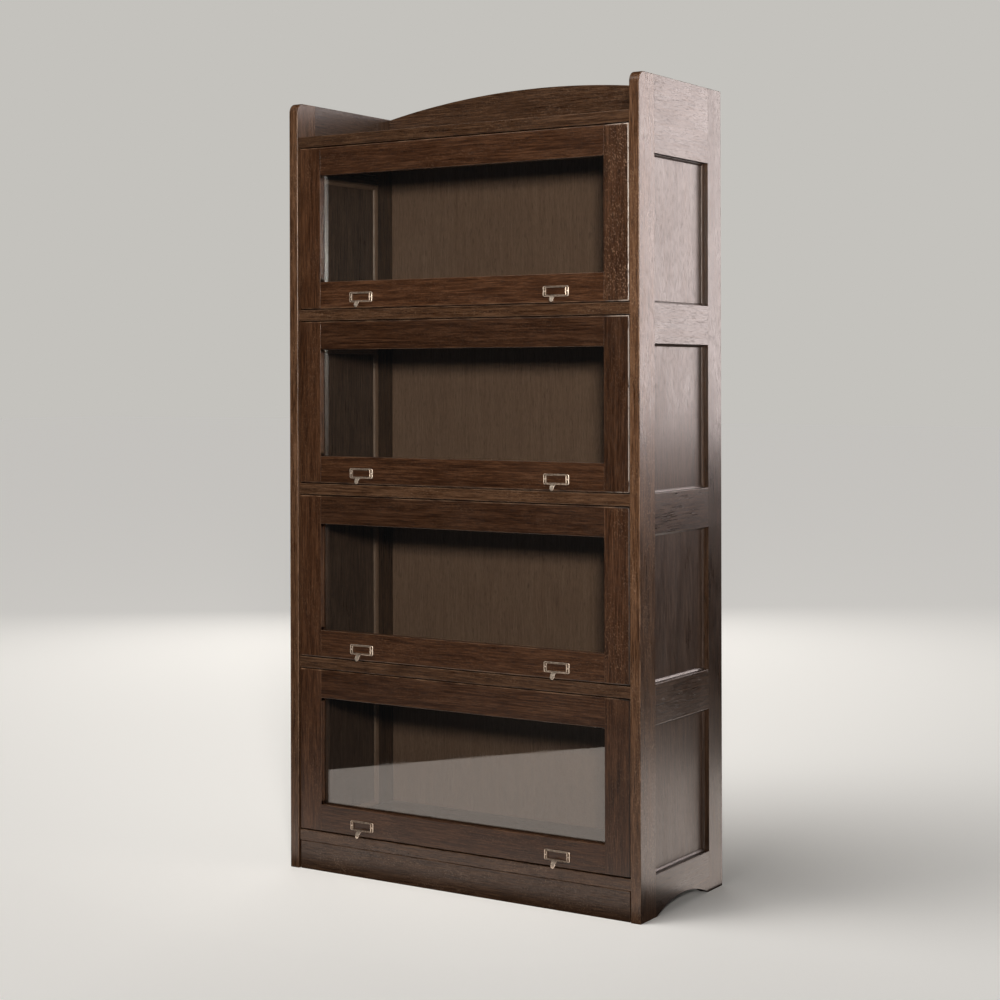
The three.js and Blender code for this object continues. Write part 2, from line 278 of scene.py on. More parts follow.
class Shader:
    """Short ways to add nodes to one material."""

    def __init__(self, name):
        self.material = bpy.data.materials.new(name)
        self.material.use_nodes = True
        self.tree = self.material.node_tree
        self.tree.nodes.clear()

    def add(self, kind, inputs=None, **settings):
        made = self.tree.nodes.new(kind)
        for key, value in settings.items():
            setattr(made, key, value)
        for key, value in (inputs or {}).items():
            if isinstance(value, bpy.types.NodeSocket):
                self.tree.links.new(value, made.inputs[key])
            else:
                made.inputs[key].default_value = value
        return made

    def attribute(self, name, output="Fac"):
        return self.add("ShaderNodeAttribute", attribute_name=name).outputs[output]

    def math(self, operation, a, b=0.0, c=0.0, clamp=False):
        inputs = {0: a, 1: b, 2: c}
        made = self.add("ShaderNodeMath", inputs, operation=operation, use_clamp=clamp)
        return made.outputs[0]

    def vector(self, operation, a, b=(0, 0, 0)):
        return self.add("ShaderNodeVectorMath", {0: a, 1: b}, operation=operation).outputs[0]

    def noise(self, place, scale, detail=2.0, roughness=0.5, output="Fac"):
        """Noise with its own scale, in cells a metre, along each axis."""
        stretched = self.vector("MULTIPLY", place, scale)
        inputs = {"Vector": stretched, "Scale": 1.0, "Detail": detail, "Roughness": roughness}
        return self.add("ShaderNodeTexNoise", inputs).outputs[output]

    def ramp(self, value, low, high, start=0.0, end=1.0):
        inputs = {"Value": value, "From Min": low, "From Max": high, "To Min": start, "To Max": end}
        return self.add("ShaderNodeMapRange", inputs).outputs[0]

    def colours(self, value, stops):
        made = self.add("ShaderNodeValToRGB", {0: value})
        elements = made.color_ramp.elements
        elements[0].position, elements[0].color = stops[0][0], (*stops[0][1], 1)
        elements[1].position, elements[1].color = stops[-1][0], (*stops[-1][1], 1)
        for position, colour in stops[1:-1]:
            elements.new(position).color = (*colour, 1)
        return made.outputs[0]

    def mix(self, factor, a, b, blend="MIX"):
        made = self.add("ShaderNodeMix", data_type="RGBA", blend_type=blend)
        for key, value in ((0, factor), (6, a), (7, b)):
            if isinstance(value, bpy.types.NodeSocket):
                self.tree.links.new(value, made.inputs[key])
            else:
                made.inputs[key].default_value = value
        return made.outputs[2]

    def surface(self, shader):
        self.add("ShaderNodeOutputMaterial", {"Surface": shader})
        return self.material


# Pale colour of a painted highlight on the doors' right arrises.
ARRIS_HIGHLIGHT_COLOUR = (0.40, 0.335, 0.285)


def oak(name, dark, middle, light, ray, worn_and_highlit, gloss):
    """Stained, lacquered quarter-sawn oak: growth lines, pores, ray flecks, rubbed edges lightened
    also as a painted highlight, and the painted highlight and shade of the doors' right arrises.
    """
    s = Shader(name)
    place = s.attribute("grain", "Vector")
    tone = s.attribute("tone")
    edge = s.attribute("edge")
    rays = s.attribute("fleck")
    bare = s.attribute("bare")

    drift = s.noise(place, (2.4, 7, 7), 1.0, output="Color")
    drift = s.vector("SUBTRACT", drift, (0.5, 0.5, 0.5))
    drift = s.vector("MULTIPLY", drift, (0, 0.010, 0.010))
    place = s.vector("ADD", place, drift)

    bands = s.ramp(s.noise(place, (1.2, 60, 60), 2.0, 0.55), 0.30, 0.70)
    lines = s.ramp(s.noise(place, (13, 300, 300), 4.0, 0.68), 0.33, 0.67)
    fibres = s.ramp(s.noise(place, (55, 900, 900), 2.0, 0.6), 0.30, 0.70)
    blotch = s.noise(place, (7, 16, 16), 2.0)
    pores = s.ramp(s.noise(place, (60, 1050, 1050), 1.5), 0.57, 0.67)
    figure = s.math("MULTIPLY", bands, 0.16)
    figure = s.math("MULTIPLY_ADD", lines, 0.46, figure)
    figure = s.math("MULTIPLY_ADD", fibres, 0.26, figure)
    figure = s.math("MULTIPLY_ADD", blotch, 0.12, figure)
    colour = s.colours(figure, ((0.24, dark), (0.48, middle), (0.76, light)))

    slant = s.add("ShaderNodeMapping", {"Vector": place, "Rotation": (0, 0, 0.30)}).outputs[0]
    flakes = s.noise(slant, (210, 330, 480), 2.5, 0.62)
    patches = s.noise(place, (6, 20, 20), 2.0)
    flakes = s.ramp(flakes, 0.55, 0.66)
    flakes = s.math("MULTIPLY", flakes, s.ramp(patches, 0.36, 0.62))
    flakes = s.math("MULTIPLY", flakes, rays, clamp=True)
    colour = s.mix(flakes, colour, (*ray, 1))
    colour = s.mix(s.math("MULTIPLY", pores, 0.55), colour, (*(c * 0.3 for c in dark), 1))

    # Rubbed edges: the crests are lightened, partly as real wear and partly as a painted highlight.
    rub_and_highlight = s.ramp(s.noise(place, (28, 60, 60), 3.0), 0.42, 0.64)
    rub_and_highlight = s.math("MULTIPLY", rub_and_highlight, edge)
    colour = s.mix(s.math("MULTIPLY", rub_and_highlight, 0.62), colour, (*worn_and_highlit, 1))
    # Painted highlight on the doors' right arrises: a pale colour, broken up by noise.
    highlight_breaks = s.ramp(s.noise(place, (40, 90, 90), 3.0), 0.34, 0.50)
    colour = s.mix(s.math("MULTIPLY", bare, highlight_breaks), colour, (*ARRIS_HIGHLIGHT_COLOUR, 1))
    # Each board's tone. On doors 1 and 2 it also paints shade into the right arris.
    level = s.math("MULTIPLY_ADD", tone, 0.16, 1.0)
    shade = s.add("ShaderNodeCombineXYZ", {0: level, 1: level, 2: level}).outputs[0]
    colour = s.mix(1.0, colour, shade, "MULTIPLY")

    rough = s.math("MULTIPLY_ADD", blotch, 0.20, gloss - 0.10)
    rough = s.math("MULTIPLY_ADD", pores, 0.16, rough)
    rough = s.math("MULTIPLY_ADD", lines, 0.08, rough)
    height = s.math("MULTIPLY_ADD", pores, -1.0, s.math("MULTIPLY", lines, 0.55))
    height = s.math("MULTIPLY_ADD", flakes, 0.25, height)
    bump = s.add("ShaderNodeBump", {"Strength": 0.5, "Distance": 0.00016, "Height": height})
    inputs = {
        "Base Color": colour, "Roughness": rough, "Normal": bump.outputs[0],
        "IOR": 1.36, "Coat Weight": 0.07, "Coat Roughness": 0.18, "Coat IOR": 1.5,
    }
    return s.surface(s.add("ShaderNodeBsdfPrincipled", inputs).outputs[0])


def aged_metal(name, dark, base, rubbed, rough_base, scale):
    """Patinated metal, brighter where its edges are rubbed."""
    s = Shader(name)
    place = s.add("ShaderNodeTexCoord").outputs["Object"]
    edge = s.attribute("edge")
    cloud = s.noise(place, (scale,) * 3, 4.0, 0.6)
    speck = s.noise(place, (scale * 5,) * 3, 2.0)
    colour = s.mix(s.ramp(cloud, 0.38, 0.62), (*dark, 1), (*base, 1))
    bright = s.math("MULTIPLY", edge, s.ramp(cloud, 0.30, 0.52, 0.45, 1.0), clamp=True)
    colour = s.mix(bright, colour, (*rubbed, 1))
    colour = s.mix(s.ramp(speck, 0.62, 0.72, 0.0, 0.5), colour, (*dark, 1))
    rough = s.ramp(cloud, 0.3, 0.7, rough_base + 0.10, rough_base - 0.04)
    rough = s.math("MULTIPLY_ADD", bright, -0.10, rough)
    bump = s.add("ShaderNodeBump", {"Strength": 0.25, "Distance": 0.00012, "Height": speck})
    inputs = {
        "Base Color": colour, "Roughness": rough, "Normal": bump.outputs[0], "Metallic": 1.0,
    }
    return s.surface(s.add("ShaderNodeBsdfPrincipled", inputs).outputs[0])


def pane_glass(name):
    """Clear float glass: see-through face on, mirror-like at a glance, faintly smudged."""
    s = Shader(name)
    place = s.add("ShaderNodeTexCoord").outputs["Object"]
    facing = s.add("ShaderNodeLayerWeight", {"Blend": 0.5}).outputs["Facing"]
    mirror = s.math("MULTIPLY_ADD", s.math("POWER", facing, 5.0), 0.89, 0.11)
    smudge = s.ramp(s.noise(place, (9, 9, 14), 3.0), 0.45, 0.7, 0.012, 0.05)
    clear = s.add("ShaderNodeBsdfTransparent", {"Color": (0.95, 0.97, 0.96, 1)}).outputs[0]
    shine = s.add("ShaderNodeBsdfAnisotropic", {"Roughness": smudge, "Color": (1, 1, 1, 1)})
    both = s.add("ShaderNodeMixShader", {0: mirror, 1: clear, 2: shine.outputs[0]})
    return s.surface(both.outputs[0])


# The fifth colour of each oak is that of its rubbed edges, lightened also as a painted highlight.
OAK_CASE = oak(
    "oak_case", (0.0130, 0.0054, 0.0024), (0.035, 0.0158, 0.0072), (0.074, 0.038, 0.020),
    (0.125, 0.078, 0.050), (0.150, 0.090, 0.055), 0.28,
)
OAK_PANEL = oak(
    "oak_panel", (0.0160, 0.0085, 0.0052), (0.038, 0.0205, 0.0130), (0.072, 0.042, 0.028),
    (0.105, 0.068, 0.046), (0.140, 0.088, 0.056), 0.29,
)
# A lighter oak for the back and the beads inside the case. Part of its lightness is painted light,
# standing in for the light inside the case.
OAK_INSIDE_PAINTED_LIGHT = oak(
    "oak_inside_painted_light", (0.122, 0.067, 0.043), (0.150, 0.085, 0.055), (0.178, 0.106, 0.070),
    (0.200, 0.130, 0.088), (0.200, 0.130, 0.088), 0.45,
)
OAK_DOOR = oak(
    "oak_door", (0.0130, 0.0046, 0.0018), (0.032, 0.0123, 0.0049), (0.068, 0.030, 0.0140),
    (0.140, 0.082, 0.050), (0.150, 0.085, 0.048), 0.30,
)
BRASS = aged_metal(
    "antique_brass", (0.12, 0.09, 0.068), (0.20, 0.16, 0.122), (0.60, 0.52, 0.44), 0.60, 160,
)
STEEL = aged_metal(
    "pin_steel", (0.28, 0.28, 0.29), (0.46, 0.46, 0.47), (0.62, 0.62, 0.63), 0.30, 300,
)
GLASS = pane_glass("glass")

# ------------------------------------------------------------ case boards


def case_board(node, radius=ARRIS, butt=None, fleck=0.35, tone=None, joint=None):
    """A board of the case. butt is the axis along which its ends are drawn up to their joints.

    joint is the (axis, level) of an edge that other boards are jointed to, which stays crisp.
    """
    obj = cad_copy(node, f"{node}_wood")
    planes = [(*joint, 0.2 * MM)] if joint else []
    if butt is not None:
        low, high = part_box(node)
        levels = (low[butt] - JOINT_DRAW, high[butt] + JOINT_DRAW)
        for vert in obj.data.vertices:
            for old, new in zip((low[butt], high[butt]), levels):
                if abs(vert.co[butt] - old) < 1e-5:
                    vert.co[butt] = new
        planes.extend((butt, level, 0.12 * MM) for level in levels)
    soften(obj, radius, planes)
    mark_edges(obj.data)
    lay_grain(obj.data, node, fleck, tone)
    smooth(obj)
    dress(obj, "case", "oak_case", OAK_CASE, node)


for side in SIDES:
    stile = f"{side}_side_front_stile"
    case_board(stile, 1.7 * MM, fleck=0.6, tone=5.5, joint=(Y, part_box(stile)[1].y))
    stile = f"{side}_side_rear_stile"
    case_board(stile, 1.5 * MM, joint=(Y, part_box(stile)[0].y))
    for place in ("bottom", "lower", "middle", "upper", "top"):
        rail = f"{side}_side_{place}_rail"
        case_board(rail, butt=Y, fleck=0.45)

case_board("top_board", butt=X, fleck=0.6, tone=0.4)
for board in ("bottom_board", "shelf_1", "shelf_2", "shelf_3"):
    case_board(board, butt=X, fleck=0.6, tone=1.9)
case_board("kick_board", fleck=0.9, tone=0.3)
case_board("arched_gallery_board", 1.5 * MM, butt=X, fleck=0.7)


def stick_ring(name, low, high, profile, to_point, seed, **look):
    """Four mitred sticks inside a rectangle. The profile is (inset from it, depth), closed.

    to_point turns a place across, a place up and a depth into a point. look is for lay_grain.
    """
    corners = [(low[0], low[1]), (high[0], low[1]), (high[0], high[1]), (low[0], high[1])]
    inward = [(1, 1), (-1, 1), (-1, -1), (1, -1)]
    meshes = []
    for k in range(4):
        j = (k + 1) % 4
        start, end = Vector(corners[k]), Vector(corners[j])
        step = (end - start).normalized() * MITRE_GAP
        loops = []
        for corner, turn, shift in ((start, inward[k], step), (end, inward[j], -step)):
            loop = []
            for inset, depth in profile:
                spot = corner + Vector(turn) * inset + shift
                loop.append(to_point(spot[0], spot[1], depth))
            loops.append(loop)
        mesh = mesh_of("stick", loft(loops))
        lay_grain(mesh, f"{seed}{k}", **look)
        meshes.append(mesh)
    return linked(name, merged(name, meshes))


# Sections as (inset, height) in mm: the bevel outside a panel and the wide bead inside it.
BEVEL = [(0, 0), (0, 3.4), (0.2, 3.6), (0.7, 3.5), (1.8, 2.7), (3.0, 1.8), (4.0, 1.0)]
BEVEL += [(4.5, 0.6), (4.7, 0.3), (4.8, 0)]
INNER_BEAD = [(0, 0), (0, 5.8), (3, 5.8), (6, 5.4), (9, 4.4), (11, 3.0), (12.2, 1.5), (12.6, 0)]
SUNK = 14 * MM            # outer face of the side to the panel's field
STICK_GAP = 0.05 * MM     # between a bevel or bead and its panel

for side, sign in (("left", -1), ("right", 1)):
    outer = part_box(f"{side}_side_front_stile")[1 if sign > 0 else 0].x
    recess = outer - sign * SUNK
    for n in DOORS:
        node = f"{side}_side_panel_{n}"
        low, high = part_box(node)
        inner = low.x if sign > 0 else high.x
        first, last = sorted((inner, recess))
        field = linked(f"{node}_field", mesh_of(
            node, block((first, low.y, low.z), (last, high.y, high.z)),
        ))
        soften(field, 0.4 * MM)
        mark_edges(field.data)
        lay_grain(field.data, node, 0.18, tone=2.0)
        smooth(field)
        dress(field, "case", "oak_panel", OAK_PANEL, node)
        # The bead inside gets the lighter inside oak, which is partly painted light.
        for word, level, away, section, finish in (
            ("bevel", recess, sign, BEVEL, OAK_PANEL),
            ("bead", inner, -sign, INNER_BEAD, OAK_INSIDE_PAINTED_LIGHT),
        ):
            def rise(y, z, depth, level=level, away=away):
                return (level + away * (depth + STICK_GAP), y, z)

            ring = stick_ring(
                f"{node}_{word}", (low.y, low.z), (high.y, high.z),
                [(inset * MM, height * MM) for inset, height in section],
                rise, f"{node}{word}", fleck=0.1, tone=0.0,
            )
            mark_edges(ring.data)
            smooth(ring)
            dress(ring, "case", "oak_panel", finish, node)

# The back gets the lighter inside oak, which is partly painted light.
back = cad_copy("back_panel", "back_panel_sheet")
soften(back, 0.5 * MM)
mark_edges(back.data)
lay_grain(back.data, "back", 0.15, tone=0.3)
smooth(back)
dress(back, "case", "oak_panel", OAK_INSIDE_PAINTED_LIGHT, "back_panel")


def turned(sections, origin, axis, count):
    """A round piece from (distance, radius) sections along an axis, count points round."""
    along, u, v = Vector(), Vector(), Vector()
    along[axis] = 1
    u[(axis + 1) % 3] = 1
    v[(axis + 2) % 3] = 1
    loops = []
    for distance, radius in sections:
        centre = Vector(origin) + along * distance
        loops.append([
            centre + u * radius * math.cos(math.tau * i / count)
            + v * radius * math.sin(math.tau * i / count)
            for i in range(count)
        ])
    return loft(loops)


# A nail from its shank to the top of its head, as (distance, radius) in mm.
NAIL = [(-1.5, 1.2), (0, 1.2), (0.01, 2.6), (0.35, 2.5), (0.6, 2.0), (0.7, 1.0)]
NAIL_SECTIONS = [(distance * MM, radius * MM) for distance, radius in NAIL]
NAILS_A_BOARD = 8
NAIL_MARGIN = 22 * MM
nails = []
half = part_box("back_panel")[1].x
pitch = 2 * (half - NAIL_MARGIN) / (NAILS_A_BOARD - 1)
for board in ("bottom_board", "shelf_1", "shelf_2", "shelf_3"):
    low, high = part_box(board)
    for k in range(NAILS_A_BOARD):
        spot = (NAIL_MARGIN - half + k * pitch, BACK, (low.z + high.z) / 2)
        nails.append(mesh_of("nail", turned(NAIL_SECTIONS, spot, Y, 12)))
nails = linked("back_nails", merged("back_nails", nails))
mark_edges(nails.data)
smooth(nails)
dress(nails, "case", "pin_steel", STEEL)

# ------------------------------------------------------------ doors


# The right-hand arris of each door: the strength of a painted highlight on it, and the painted shade
# of the two lower ones. They are darkened to stand for the shadow in the dark gap that the
# photograph shows there.
ARRIS_HIGHLIGHT = {1: 0.0, 2: 0.12, 3: 0.9, 4: 1.0}
ARRIS_GAP_SHADE = {1: -5.6, 2: -5.0}
CREST_START = 0.05 * MM   # that arris lies further than this behind the door's face
CREST_REACH = 4.4 * MM    # and less than this in from its right edge
BEYOND = 5 * MM           # how far the boxes that cut out the boards reach past the frame
BOARD_ARRIS = 1.1 * MM    # radius of a door's rounded edges, but for
LEFT_ARRIS = 2.4 * MM     # its left side,
RIGHT_ARRIS = 3.8 * MM    # its right side,
WINDOW_ARRIS = 0.5 * MM   # its stiles beside the window and the rails
RAIL_END = 0.15 * MM      # and its rails' ends


def door_board(n, name, low, high, planes, fleck, tone):
    """A stile or rail, cut from the door's frame. planes are as for soften."""
    obj = cad_copy(f"door_{n}_frame", f"door_{n}_{name}", whole=False)
    keep_inside(obj, low, high)
    soften(obj, BOARD_ARRIS, planes, clamp=False)
    mark_edges(obj.data)
    lay_grain(obj.data, f"{name}{n}", fleck, tone)
    obj.data.attributes.new("bare", "FLOAT", "POINT")
    # Paints a highlight on the crest of the door's right arris.
    for k, vert in enumerate(obj.data.vertices):
        inward, behind = DOOR_HIGH.x - vert.co.x, vert.co.y - FACE
        if CREST_START < behind < inward < CREST_REACH:
            obj.data.attributes["bare"].data[k].value = ARRIS_HIGHLIGHT[n]
            # On doors 1 and 2 it also paints shade there, for the shadow in the gap beside the door.
            if n in ARRIS_GAP_SHADE:
                obj.data.attributes["tone"].data[k].value = ARRIS_GAP_SHADE[n]
    smooth(obj)
    dress(obj, f"door_{n}", "oak_door", OAK_DOOR, f"door_{n}_frame")


# The look of each door's left and right stile, and the tone of its top and bottom rail.
STILE_FLECK = {1: (0.35, 0.5), 2: (0.3, 0.6), 3: (0.4, 0.5), 4: (0.35, 1.7)}
STILE_TONE = {1: (2.2, 0.3), 2: (1.6, 0.6), 3: (1.2, -1.0), 4: (1.4, 0.0)}
RAIL_TONE = {1: (0.0, 0.6), 2: (-1.3, 0.7), 3: (-1.1, 0.5), 4: (0.2, 1.8)}

for n in DOORS:
    low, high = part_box(f"door_{n}_frame")
    bead_low, bead_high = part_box(f"door_{n}_glass_bead")
    sill = bead_low.z + RABBET
    head = bead_high.z - RABBET
    stile_planes = [(X, -WINDOW_HALF, WINDOW_ARRIS), (X, WINDOW_HALF, WINDOW_ARRIS)]
    stile_planes += [(X, low.x, LEFT_ARRIS), (X, high.x, RIGHT_ARRIS)]
    rail_planes = [(X, -WINDOW_HALF, RAIL_END), (X, WINDOW_HALF, RAIL_END)]
    y0, y1 = low.y - BEYOND, high.y + BEYOND
    for k, (name, x0, x1) in enumerate((
        ("left_stile", low.x - BEYOND, -WINDOW_HALF),
        ("right_stile", WINDOW_HALF, high.x + BEYOND),
    )):
        door_board(
            n, name, (x0, y0, low.z - BEYOND), (x1, y1, high.z + BEYOND),
            stile_planes, STILE_FLECK[n][k], STILE_TONE[n][k],
        )
    for k, (name, z0, z1) in enumerate((
        ("top_rail", head - RABBET, high.z + BEYOND),
        ("bottom_rail", low.z - BEYOND, sill + RABBET),
    )):
        door_board(
            n, name, (-WINDOW_HALF, y0, z0), (WINDOW_HALF, y1, z1),
            rail_planes, 0.3, RAIL_TONE[n][k],
        )

    pane = NODES[f"door_{n}_glass"]
    pane.data.materials.clear()
    pane.data.materials.append(GLASS)

    def backward(x, z, depth, front=bead_low.y):
        return (x, front + depth, z)

    width, deep = RABBET, bead_high.y - bead_low.y
    section = [(0, 0), (0, deep), (width * 0.35, deep)]
    for step in range(1, 7):
        angle = math.radians(15 * step)
        section.append((
            width * (0.35 + 0.65 * math.sin(angle)), deep * (0.3 + 0.7 * math.cos(angle)),
        ))
    section.append((width, 0))
    bead = stick_ring(
        f"door_{n}_bead", (bead_low.x, bead_low.z), (bead_high.x, bead_high.z),
        section, backward, f"bead{n}", fleck=0.1, tone=-0.2,
    )
    mark_edges(bead.data)
    smooth(bead)
    dress(bead, f"door_{n}", "oak_door", OAK_DOOR, f"door_{n}_glass_bead")

# ------------------------------------------------------------ guide pins

# A pin's sections as (distance in mm, share of its radius). The tail, inside the door, is
# measured from its own end and is chamfered. The rest is measured from the nose: a turned
# groove where the pin leaves the door, and the rounded nose.
PIN_TAIL = ((0, 0.72), (0.9, 1))
PIN_NOSE = ((9, 1), (8.6, 0.90), (7.9, 0.90), (7.5, 1), (1.1, 1), (0.3, 0.82), (0, 0.6))

for n in DOORS:
    for side, sign in (("left", -1), ("right", 1)):
        node = f"door_{n}_guide_pin_{side}"
        low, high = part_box(node)
        radius = (high.z - low.z) / 2
        length = high.x - low.x
        sections = [(d * MM, radius * share) for d, share in PIN_TAIL]
        sections += [(length - d * MM, radius * share) for d, share in PIN_NOSE]
        start = low.x if sign > 0 else high.x
        spot = (start, (low.y + high.y) / 2, (low.z + high.z) / 2)
        bm = turned([(sign * d, r) for d, r in sections], spot, X, 32)
        pin = linked(f"{node}_turned", mesh_of(node, bm))
        mark_edges(pin.data)
        smooth(pin)
        dress(pin, f"door_{n}_guides", "pin_steel", STEEL, node)

# ------------------------------------------------------------ pulls


def rounded(half_width, half_height, radius, steps=5):
    """Points round a rectangle with rounded corners."""
    points = []
    for turn in range(4):
        sx = 1 if turn in (0, 3) else -1
        sz = 1 if turn in (0, 1) else -1
        for step in range(steps + 1):
            angle = math.radians(90 * (turn + step / steps))
            points.append((
                sx * (half_width - radius) + radius * math.cos(angle),
                sz * (half_height - radius) + radius * math.sin(angle),
            ))
    return points


# Half width, half height, corner radius and stand-off from the door, in mm, and wear.
CARD_FRAME = (
    (32.0, 11.5, 3.6, 0.05, 0.2), (32.0, 11.5, 3.6, 1.5, 0.4), (31.7, 11.2, 3.4, 2.1, 1.0),
    (31.1, 10.6, 3.0, 2.4, 1.0), (30.4, 10.3, 2.6, 2.2, 0.5), (29.8, 10.1, 2.4, 1.8, 0.0),
    (26.6, 9.8, 1.8, 1.8, 0.0), (26.1, 9.5, 1.7, 2.4, 0.1), (25.7, 9.2, 1.5, 3.0, 0.4),
    (25.0, 8.6, 1.3, 3.4, 0.5), (24.4, 7.9, 1.0, 3.1, 0.3), (24.1, 7.55, 0.8, 2.4, 0.1),
    (24.0, 7.5, 0.7, 0.05, 0.0),
)
PLATE_HALF = 11.5 * MM    # half height of the card frame
PLATE_PROUD = 1.0 * MM    # stand-off at which the finger tab grows out of it
PIN_SPREAD = 28.3 * MM    # middle of the card frame to each of its pins
TAB_FOOT = 2.9 * MM       # foot of the card frame up to the tab's root
TAB_ROOT = 2.2 * MM       # stand-off of a second point on its straight root
TAB_END = 0.6 * MM        # how far above the CAD's tip it ends
TAB_THICK = 1.05 * MM     # half the tab's thickness
TAB_BEND = 13.9 * MM      # radius of its turn from forward to down
TAB_HALF = 6.9 * MM       # half its width at the root
TAB_TAPER = 2.0 * MM      # what that loses by the tip
TAB_DISH = 0.8 * MM       # how far the tip is dished, this far from its middle:
TAB_DISH_AT = 5 * MM
TAB_POINTS = 28


def worn_mesh(name, bm, wear):
    """The mesh with its vertices' wear stored on it, in the order they were made."""
    bm.verts.index_update()
    layer = bm.verts.layers.float.new("edge")
    for vert, value in zip(bm.verts, wear):
        vert[layer] = value
    return mesh_of(name, bm)


def card_frame(x, z, face):
    """The card window's frame, a lofted ring of rounded rectangles."""
    loops, wear = [], []
    for half_width, half_height, radius, proud, rubbed in CARD_FRAME:
        outline = rounded(half_width * MM, half_height * MM, radius * MM)
        loops.append([(x + u, face - proud * MM, z + v) for u, v in outline])
        wear.extend([rubbed] * len(outline))
    return worn_mesh("frame", loft(loops, ring=True), wear)


# Stand-off from the door and radius, in mm, and wear.
ESCUTCHEON_PIN = (
    (1.2, 1.3, 0.0), (1.85, 1.75, 0.0), (2.3, 1.6, 0.6), (2.65, 1.15, 1.0), (2.8, 0.5, 1.0),
)
PIN_POINTS = 16


def escutcheon_pin(x, z, face):
    """The domed head of a small pin through the card frame."""
    loops, wear = [], []
    for proud, radius, rubbed in ESCUTCHEON_PIN:
        loop = []
        for i in range(PIN_POINTS):
            angle = math.tau * i / PIN_POINTS
            u, v = radius * MM * math.cos(angle), radius * MM * math.sin(angle)
            loop.append((x + u, face - proud * MM, z + v))
        loops.append(loop)
        wear.extend([rubbed] * PIN_POINTS)
    return worn_mesh("pin", loft(loops), wear)


def finger_tab(x, z, face, reach, tip):
    """A tapered tongue that comes forward out of the card frame's foot and hooks down."""
    top = z - PLATE_HALF + TAB_FOOT
    front = reach + TAB_THICK
    path = [(face - PLATE_PROUD, top, 0.0), (face - TAB_ROOT, top, 0.0)]
    for step in range(13):
        angle = math.radians(7.5 * step)
        path.append((
            front + TAB_BEND * (1 - math.sin(angle)), top - TAB_BEND * (1 - math.cos(angle)),
            angle,
        ))
    drop = path[-1][1] - tip - TAB_END
    path.extend((front, top - TAB_BEND - drop * k / 3, math.pi / 2) for k in (1, 2, 3))
    run = [0.0]
    for a, b in zip(path, path[1:]):
        run.append(run[-1] + math.hypot(b[0] - a[0], b[1] - a[1]))
    loops, wear = [], []
    for (y, z, angle), passed in zip(path, run):
        share = passed / run[-1]
        half = TAB_HALF - TAB_TAPER * share
        left = run[-1] - passed
        if left < half:
            half *= math.sqrt(max(0.1, 1 - (1 - left / half) ** 2))
        normal = Vector((0, -math.sin(angle), math.cos(angle)))
        loop = []
        for i in range(TAB_POINTS):
            turn = math.tau * i / TAB_POINTS
            across, through = math.cos(turn), math.sin(turn)
            u = half * math.copysign(abs(across) ** 0.5, across)
            w = TAB_THICK * math.copysign(abs(through) ** 0.8, through)
            dish = TAB_DISH * share * (u / TAB_DISH_AT) ** 2
            loop.append(Vector((x + u, y, z)) + normal * (w + dish))
        loops.append(loop)
        wear.extend([0.75 + 0.25 * min(1, share * 1.3)] * TAB_POINTS)
    return worn_mesh("tab", loft(loops), wear)


for n in DOORS:
    for side in SIDES:
        node = f"door_{n}_pull_{side}"
        low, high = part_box(node)
        x = (low.x + high.x) / 2
        middle = high.z - PLATE_HALF
        parts = [card_frame(x, middle, FACE)]
        parts.extend(escutcheon_pin(x + s * PIN_SPREAD, middle, FACE) for s in (-1, 1))
        parts.append(finger_tab(x, middle, FACE, low.y, low.z))
        pull = linked(f"{node}_cast", merged(node, parts))
        smooth(pull)
        dress(pull, f"door_{n}", "antique_brass", BRASS, node)

# ------------------------------------------------------------ floor, light and camera


def stage_sheet(name, corners, z, colour, glow=0.0):
    """A flat sheet of floor. One that glows is only there to be mirrored."""
    bm = bmesh.new()
    bm.faces.new([bm.verts.new((x, y, z)) for x, y in corners])
    sheet = linked(name, mesh_of(name, bm))
    s = Shader(name)
    if glow:
        finish = s.add("ShaderNodeEmission", {"Color": (*colour, 1), "Strength": glow})
    else:
        finish = s.add("ShaderNodeBsdfDiffuse", {"Color": (*colour, 1)})
    sheet.data.materials.append(s.surface(finish.outputs[0]))
    sheet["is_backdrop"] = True
    return sheet


FLOOR_HALF = 40
FLOOR_COLOUR = (0.93, 0.92, 0.90)
SUNLIT_COLOUR = (0.92, 0.80, 0.72)
SUNLIT_LEVEL = 0.002
corners = [(u * FLOOR_HALF, v * FLOOR_HALF) for u, v in ((-1, -1), (1, -1), (1, 1), (-1, 1))]
floor = stage_sheet("floor", corners, 0.0, FLOOR_COLOUR)
floor.visible_glossy = False
floor.visible_diffuse = False


def bowed(start, end, bow, count=12):
    """Points along a shallow curve that leans out by bow to the right of its chord."""
    start, end = Vector(start), Vector(end)
    out = Vector((end.y - start.y, start.x - end.x)).normalized()
    shares = [k / count for k in range(count + 1)]
    return [start.lerp(end, t) + out * bow * 4 * t * (1 - t) for t in shares]


# What the glass and the lacquer see of the floor: its sunlit part, near the case.
SHADE_EDGE = bowed((-1.44, -0.5), (-0.05, -2.5), 0.05)
for name, corners, glow in (
    ("sunlit_floor_in_front", (*SHADE_EDGE, (1.6, -2.5), (1.6, -0.5)), 0.85),
    ("sunlit_floor_at_foot", ((-0.9, -0.62), (0.6, -0.62), (0.6, -0.26), (-0.9, -0.26)), 2.5),
    ("sunlit_floor_beside", ((0.47, 0.1), (1.7, 0.1), (1.7, 1.4), (0.47, 1.4)), 2.9),
):
    sheet = stage_sheet(name, corners, SUNLIT_LEVEL, SUNLIT_COLOUR, glow)
    sheet.visible_camera = False
    sheet.visible_diffuse = False
    sheet.visible_shadow = False


